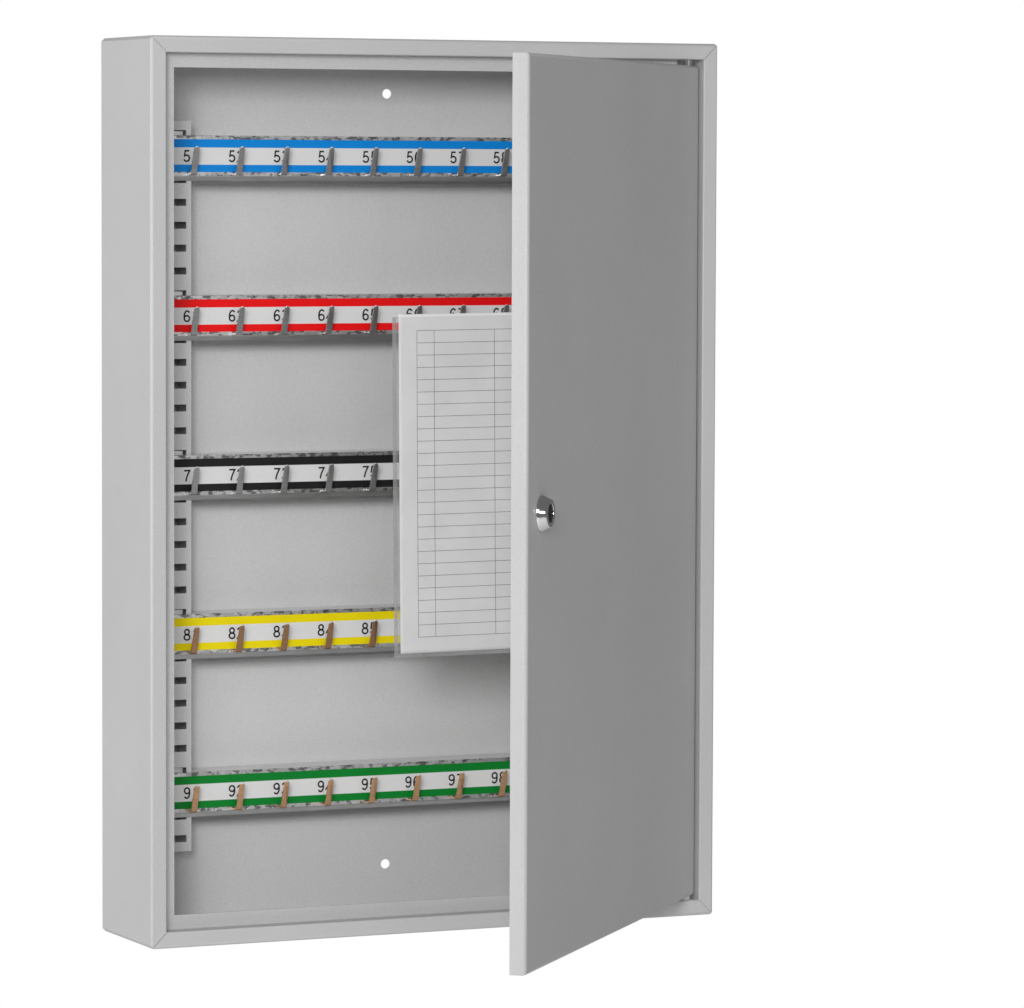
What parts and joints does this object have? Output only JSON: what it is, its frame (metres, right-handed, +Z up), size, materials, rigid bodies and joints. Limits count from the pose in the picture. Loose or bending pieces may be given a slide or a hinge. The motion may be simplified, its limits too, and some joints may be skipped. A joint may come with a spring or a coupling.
{
  "type": "key cabinet",
  "caption": "Wall key cabinet: shallow sheet-steel case, inset door with cam lock, slotted uprights carrying numbered hook rails, and a clear index sleeve.",
  "frame": {"origin": "middle of the back face, halfway between the two wall holes", "axes": "+Z up along the cabinet's height, +X to the right of somebody facing the door, +Y into the wall"},
  "size_m": [0.38, 0.3397, 0.55],
  "materials": {
    "powder_coat": "light grey powder coat, finely textured, satin",
    "galvanised": "galvanised sheet, fine spangle",
    "zinc_steel": "bright zinc plated",
    "lock_chrome": "polished chrome",
    "lock_core": "dark nickel",
    "wafer_brass": "stamped brass",
    "bush_nylon": "natural nylon",
    "clear_film": "clear film",
    "paper": "matt paper with a ruled table",
    "spine_tape": "white adhesive strip",
    "strip_blue": "printed film, white between blue bands",
    "strip_red": "printed film, white between red bands",
    "strip_black": "printed film, white between black bands",
    "strip_yellow": "printed film, white between yellow bands",
    "strip_green": "printed film, white between green bands"
  },
  "bodies": {
    "case": {"back_panel": "powder_coat", "left_side": "powder_coat", "right_side": "powder_coat", "top_side": "powder_coat", "bottom_side": "powder_coat", "left_upright": "powder_coat", "right_upright": "powder_coat", "top_pivot_pin": "zinc_steel", "bottom_pivot_pin": "zinc_steel"},
    "door": {"door_panel": "powder_coat", "top_pivot_bush": "bush_nylon", "bottom_pivot_bush": "bush_nylon", "lock_housing": "lock_chrome", "lock_nut": "zinc_steel", "sleeve_spine_strip": "spine_tape"},
    "lock_core": {"lock_plug": "lock_core", "lock_wafers": "wafer_brass", "lock_cam": "zinc_steel", "cam_washer": "zinc_steel", "cam_screw": "zinc_steel"},
    "sleeve": {"index_sleeve": "clear_film", "index_sheet": "paper"},
    "rail_blue": {"hook_rail_blue": "galvanised", "number_strip_blue": "strip_blue"},
    "rail_red": {"hook_rail_red": "galvanised", "number_strip_red": "strip_red"},
    "rail_black": {"hook_rail_black": "galvanised", "number_strip_black": "strip_black"},
    "rail_yellow": {"hook_rail_yellow": "galvanised", "number_strip_yellow": "strip_yellow"},
    "rail_green": {"hook_rail_green": "galvanised", "number_strip_green": "strip_green"}
  },
  "joints": [
    {"name": "door_swing", "type": "hinge", "parent": "case", "child": "door", "pos_m": [0.172, -0.0795, 0], "axis": [0, 0, 1], "range_deg": [-47.5, 57.5]},
    {"name": "lock_turn", "type": "hinge", "parent": "door", "child": "lock_core", "pos_m": [-0.04689, -0.31838, 0], "axis": [-0.7373, 0.6756, 0], "range_deg": [0, 90]},
    {"name": "index_swing", "type": "hinge", "parent": "door", "child": "sleeve", "pos_m": [0.13342, -0.12634, 0], "axis": [0, 0, 1], "range_deg": [-57.5, 47.5]},
    {"name": "rail_lift_blue", "type": "slide", "parent": "case", "child": "rail_blue", "axis": [0, 0, 1], "range_m": [0, 0.003]},
    {"name": "rail_lift_red", "type": "slide", "parent": "case", "child": "rail_red", "axis": [0, 0, 1], "range_m": [0, 0.003]},
    {"name": "rail_lift_black", "type": "slide", "parent": "case", "child": "rail_black", "axis": [0, 0, 1], "range_m": [0, 0.003]},
    {"name": "rail_lift_yellow", "type": "slide", "parent": "case", "child": "rail_yellow", "axis": [0, 0, 1], "range_m": [0, 0.003]},
    {"name": "rail_lift_green", "type": "slide", "parent": "case", "child": "rail_green", "axis": [0, 0, 1], "range_m": [0, 0.003]}
  ],
  "couplings": [
    {"joint": "index_swing", "follows": "door_swing", "ratio": -1}
  ]
}
